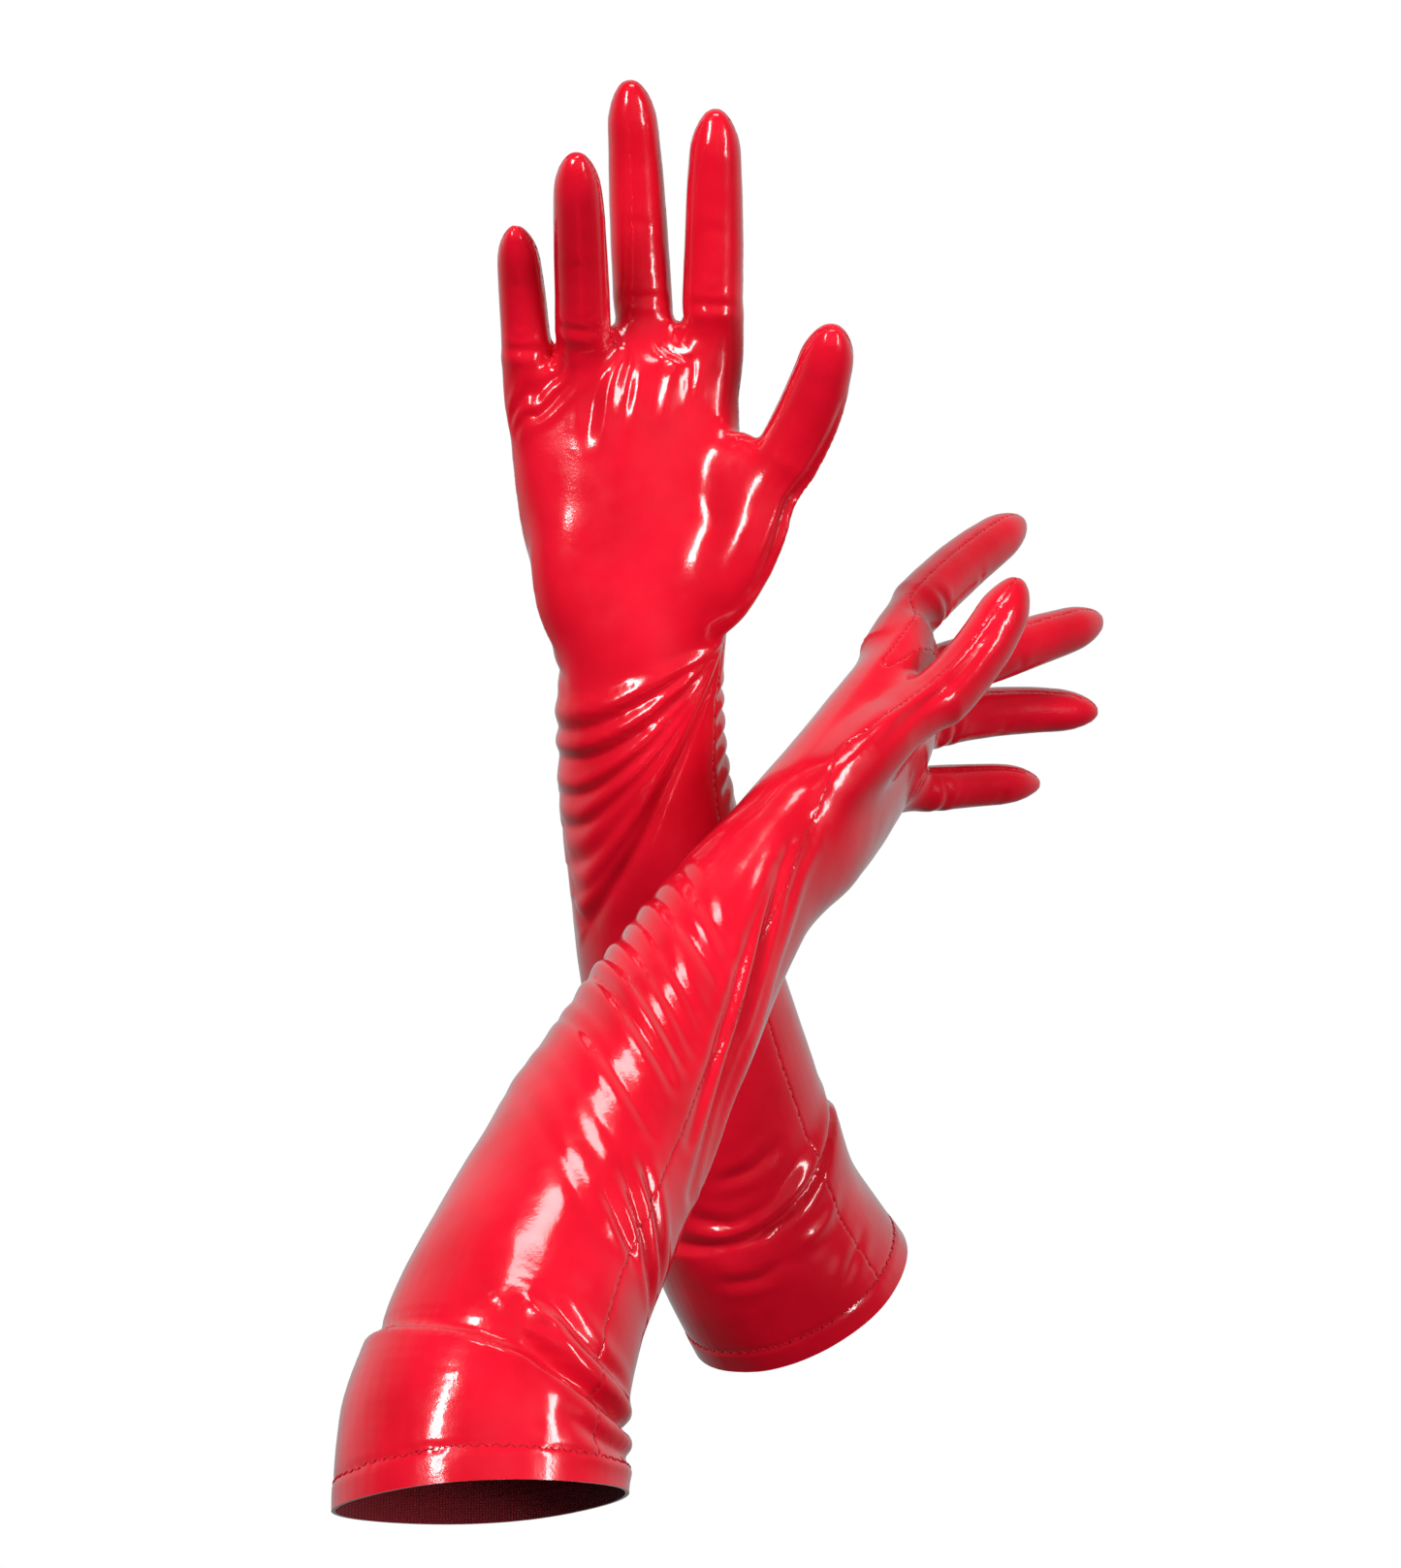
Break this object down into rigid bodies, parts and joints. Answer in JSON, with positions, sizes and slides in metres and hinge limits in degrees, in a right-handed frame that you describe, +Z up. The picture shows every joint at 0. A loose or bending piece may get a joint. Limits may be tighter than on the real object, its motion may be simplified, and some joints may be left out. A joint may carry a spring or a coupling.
{
  "type": "opera gloves",
  "caption": "Pair of long stretch-vinyl opera gloves in the shape of two crossed arms, each with a sewn sleeve over the elbow, a hand and five finger stalls.",
  "frame": {"origin": "centre of the left glove's cuff opening, in the plane of its rim", "axes": "+X to the right across the pair, +Y away from the front, +Z up along the raised right hand"},
  "size_m": [0.2318, 0.3224, 0.43],
  "materials": {
    "vinyl": "high-gloss coated stretch knit",
    "thread": "matching sewing thread"
  },
  "bodies": {
    "left_sleeve": {"left_hem_band": "vinyl", "left_hem_stitches": "thread", "left_sleeve_palm_panel": "vinyl", "left_sleeve_back_panel": "vinyl", "left_thumb_side_seam": "thread", "left_little_side_seam": "thread"},
    "left_hand": {"left_hand_palm_panel": "vinyl", "left_hand_back_panel": "vinyl", "left_wrist_band": "vinyl"},
    "left_index": {"left_index_palm_panel": "vinyl", "left_index_back_panel": "vinyl", "left_index_root_ring": "vinyl"},
    "left_middle": {"left_middle_palm_panel": "vinyl", "left_middle_back_panel": "vinyl", "left_middle_root_ring": "vinyl"},
    "left_ring": {"left_ring_palm_panel": "vinyl", "left_ring_back_panel": "vinyl", "left_ring_root_ring": "vinyl"},
    "left_little": {"left_little_palm_panel": "vinyl", "left_little_back_panel": "vinyl", "left_little_root_ring": "vinyl"},
    "left_thumb": {"left_thumb_palm_panel": "vinyl", "left_thumb_back_panel": "vinyl", "left_thumb_root_ring": "vinyl"},
    "right_sleeve": {"right_hem_band": "vinyl", "right_hem_stitches": "thread", "right_sleeve_palm_panel": "vinyl", "right_sleeve_back_panel": "vinyl", "right_thumb_side_seam": "thread", "right_little_side_seam": "thread"},
    "right_hand": {"right_hand_palm_panel": "vinyl", "right_hand_back_panel": "vinyl", "right_wrist_band": "vinyl"},
    "right_index": {"right_index_palm_panel": "vinyl", "right_index_back_panel": "vinyl", "right_index_root_ring": "vinyl"},
    "right_middle": {"right_middle_palm_panel": "vinyl", "right_middle_back_panel": "vinyl", "right_middle_root_ring": "vinyl"},
    "right_ring": {"right_ring_palm_panel": "vinyl", "right_ring_back_panel": "vinyl", "right_ring_root_ring": "vinyl"},
    "right_little": {"right_little_palm_panel": "vinyl", "right_little_back_panel": "vinyl", "right_little_root_ring": "vinyl"},
    "right_thumb": {"right_thumb_palm_panel": "vinyl", "right_thumb_back_panel": "vinyl", "right_thumb_root_ring": "vinyl"}
  },
  "joints": [
    {"name": "left_wrist_bend", "type": "hinge", "parent": "left_sleeve", "child": "left_hand", "pos_m": [0.08009, 0.12366, 0.18316], "axis": [-0.0427, 0.6876, -0.7248], "range_deg": [-3, 40], "deforming": ["left_wrist_band"]},
    {"name": "left_index_curl", "type": "hinge", "parent": "left_hand", "child": "left_index", "pos_m": [0.12923, 0.18766, 0.26535], "axis": [-0.0937, 0.6164, -0.7818], "range_deg": [-8, 50], "deforming": ["left_index_root_ring"]},
    {"name": "left_middle_curl", "type": "hinge", "parent": "left_hand", "child": "left_middle", "pos_m": [0.13844, 0.19823, 0.24418], "axis": [-0.1904, 0.5868, -0.787], "range_deg": [-8, 50], "deforming": ["left_middle_root_ring"]},
    {"name": "left_ring_curl", "type": "hinge", "parent": "left_hand", "child": "left_ring", "pos_m": [0.13521, 0.21205, 0.22741], "axis": [-0.2653, 0.5374, -0.8005], "range_deg": [-8, 50], "deforming": ["left_ring_root_ring"]},
    {"name": "left_little_curl", "type": "hinge", "parent": "left_hand", "child": "left_little", "pos_m": [0.13397, 0.21174, 0.20554], "axis": [-0.3168, 0.5238, -0.7907], "range_deg": [-8, 50], "deforming": ["left_little_root_ring"]},
    {"name": "left_thumb_curl", "type": "hinge", "parent": "left_hand", "child": "left_thumb", "pos_m": [0.12721, 0.14042, 0.22985], "axis": [-0.366, 0.8776, -0.3097], "range_deg": [-4, 25], "deforming": ["left_thumb_root_ring"]},
    {"name": "right_wrist_bend", "type": "hinge", "parent": "right_sleeve", "child": "right_hand", "pos_m": [0.03919, 0.14507, 0.24308], "axis": [0.9976, -0.0695, -0.0021], "range_deg": [-12, 40], "deforming": ["right_wrist_band"]},
    {"name": "right_index_curl", "type": "hinge", "parent": "right_hand", "child": "right_index", "pos_m": [0.06051, 0.12951, 0.35605], "axis": [0.9975, -0.0608, -0.0356], "range_deg": [-8, 50], "deforming": ["right_index_root_ring"]},
    {"name": "right_middle_curl", "type": "hinge", "parent": "right_hand", "child": "right_middle", "pos_m": [0.03873, 0.13541, 0.35816], "axis": [0.9966, -0.0753, 0.0323], "range_deg": [-8, 38], "deforming": ["right_middle_root_ring"]},
    {"name": "right_ring_curl", "type": "hinge", "parent": "right_hand", "child": "right_ring", "pos_m": [0.02166, 0.12051, 0.35028], "axis": [0.9984, -0.0512, -0.026], "range_deg": [-8, 50], "deforming": ["right_ring_root_ring"]},
    {"name": "right_little_curl", "type": "hinge", "parent": "right_hand", "child": "right_little", "pos_m": [0.00524, 0.13008, 0.3423], "axis": [0.9961, -0.0836, 0.0279], "range_deg": [-8, 50], "deforming": ["right_little_root_ring"]},
    {"name": "right_thumb_curl", "type": "hinge", "parent": "right_hand", "child": "right_thumb", "pos_m": [0.0838, 0.12355, 0.29885], "axis": [0.7165, -0.4132, -0.5621], "range_deg": [-8, 30], "deforming": ["right_thumb_root_ring"]},
    {"name": "pair_separation", "type": "slide", "parent": "left_sleeve", "child": "right_sleeve", "axis": [0, 1, 0], "range_m": [0, 0.12]}
  ]
}
